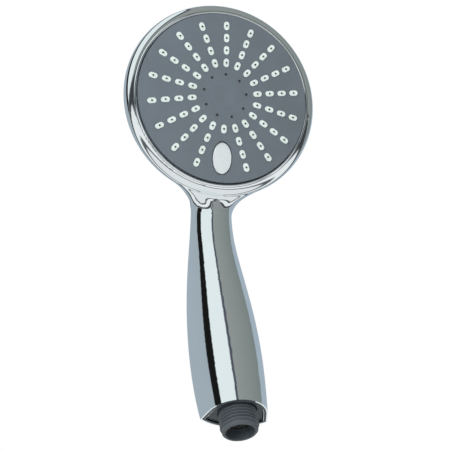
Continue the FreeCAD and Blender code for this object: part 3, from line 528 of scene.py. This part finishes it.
# What polished metal sees round the object, by compass direction in degrees from the front towards
# the left, as soft boxes and dark panels with their brightness.
PANELS = [
    (-180, (0.37, 0.45, 0.52)), (-96, (0.37, 0.45, 0.52)), (-92, (0.20, 0.235, 0.23)),
    (-5, (0.28, 0.31, 0.30)), (2, (0.28, 0.31, 0.30)), (3, (0.08, 0.09, 0.115)), (9, (0.08, 0.09, 0.115)), (11, (0.78, 0.86, 0.86)),
    (62, (0.78, 0.86, 0.86)), (64, (0.009, 0.009, 0.009)), (87, (0.009, 0.009, 0.009)),
    (89, (0.36, 0.42, 0.46)), (180, (0.37, 0.45, 0.52)),
]

# The same below the horizon, by height from straight down at 0 to level at 0.5.
LOW_PANELS = [
    (0.0, (0.75, 0.79, 0.8)), (0.14, (0.75, 0.79, 0.8)), (0.16, (0.10, 0.11, 0.12)),
    (0.20, (0.12, 0.13, 0.14)), (0.22, (0.85, 0.89, 0.9)), (0.33, (0.8, 0.84, 0.85)), (0.35, (0.05, 0.055, 0.06)),
    (0.40, (0.05, 0.055, 0.06)), (0.42, (0.3, 0.33, 0.33)),
]


def studio():
    """Light all round that is plain for matt surfaces, white behind the object and panelled in metal."""
    world = bpy.data.worlds.new("studio")
    bpy.context.scene.world = world
    world.use_nodes = True
    nodes = Nodes(world.node_tree)
    direction = nodes.add("ShaderNodeTexCoord", output="Generated")
    split = nodes.add("ShaderNodeSeparateXYZ", inputs=[direction]).socket.node
    side, ahead, height = (Value(nodes, socket) for socket in split.outputs)
    turn = nodes.add("ShaderNodeMath", {"operation": "ARCTAN2"}, [side * -1.0, ahead * -1.0])
    compass = turn * (1 / TAU) + 0.5
    stops = [(degrees / 360 + 0.5, colour) for degrees, colour in PANELS]
    panels = nodes.add("ShaderNodeValToRGB", {"stops": stops}, [compass])
    below = nodes.add("ShaderNodeValToRGB", {"stops": LOW_PANELS}, [height * 0.5 + 0.5])
    panels = nodes.mix(height.clamped(*HORIZON), below, panels)
    camera_ray, glossy_ray = (nodes.add("ShaderNodeLightPath", output=name)
                              for name in ("Is Camera Ray", "Is Glossy Ray"))
    plain = (PLAIN_LIGHT,) * 3 + (1,)
    light = nodes.mix(camera_ray, nodes.mix(glossy_ray, plain, panels), WHITE)
    nodes.close("ShaderNodeOutputWorld", nodes.add("ShaderNodeBackground", inputs={"Color": light}))


def stage_finish():
    """Pale matt surface that shows plain white to the camera."""
    finish = bpy.data.materials.new("pale_studio_paper")
    finish.use_nodes = True
    nodes = Nodes(finish.node_tree)
    paper = nodes.add("ShaderNodeBsdfDiffuse", inputs={"Color": PAPER})
    glow = nodes.add("ShaderNodeEmission", inputs={"Color": WHITE, "Strength": 1.0})
    seen = nodes.add("ShaderNodeLightPath", output="Is Camera Ray")
    nodes.close("ShaderNodeOutputMaterial", nodes.add("ShaderNodeMixShader", inputs=[seen, paper, glow]))
    return finish


def stage_sheet(name, corners, finish):
    """A flat sheet of the stage from its four corners."""
    mesh = bpy.data.meshes.new(name)
    mesh.from_pydata(corners, [], [(0, 1, 2, 3)])
    mesh.materials.append(finish)
    sheet = bpy.data.objects.new(name, mesh)
    bpy.context.scene.collection.objects.link(sheet)
    sheet.visible_glossy = False


studio()
paper = stage_finish()
left, right, near, far = -STAGE_HALF, STAGE_HALF, -STAGE_HALF, STAGE_HALF
stage_sheet("floor", [(left, near, FLOOR_HEIGHT), (right, near, FLOOR_HEIGHT), (right, far, FLOOR_HEIGHT),
                      (left, far, FLOOR_HEIGHT)], paper)
stage_sheet("backdrop", [(left, BACKDROP_PLACE, FLOOR_HEIGHT), (right, BACKDROP_PLACE, FLOOR_HEIGHT),
                         (right, BACKDROP_PLACE, STAGE_HALF), (left, BACKDROP_PLACE, STAGE_HALF)], paper)


def lamp(name, place, width, watts):
    """A soft square lamp aimed at the object, left out of mirror reflections."""
    light = bpy.data.lights.new(name, "AREA")
    light.shape, light.size, light.energy = "SQUARE", width, watts
    holder = bpy.data.objects.new(name, light)
    bpy.context.scene.collection.objects.link(holder)
    holder.location = place
    holder.rotation_euler = (Vector(LAMP_AIM) - Vector(place)).to_track_quat("-Z", "Y").to_euler()
    holder.visible_glossy = False


lamp("key", (-1.2, -1.0, -0.1), 0.8, 22)
lamp("fill", (1.2, -1.0, 0.6), 1.2, 6)

view = bpy.data.cameras.new("camera")
view.lens, view.sensor_width = CAMERA_LENS, SENSOR
view.clip_start, view.clip_end = 0.02, 20.0
camera = bpy.data.objects.new("camera", view)
bpy.context.scene.collection.objects.link(camera)
forward, up = Vector(CAMERA_FORWARD).normalized(), Vector(CAMERA_UP).normalized()
across = forward.cross(up).normalized()
turn = Matrix((across, across.cross(forward), -forward)).transposed()
camera.matrix_world = Matrix.Translation(Vector(from_head([CAMERA_PLACE])[0])) @ turn.to_4x4()
bpy.context.scene.camera = camera
bpy.context.scene.view_settings.view_transform = "Standard"
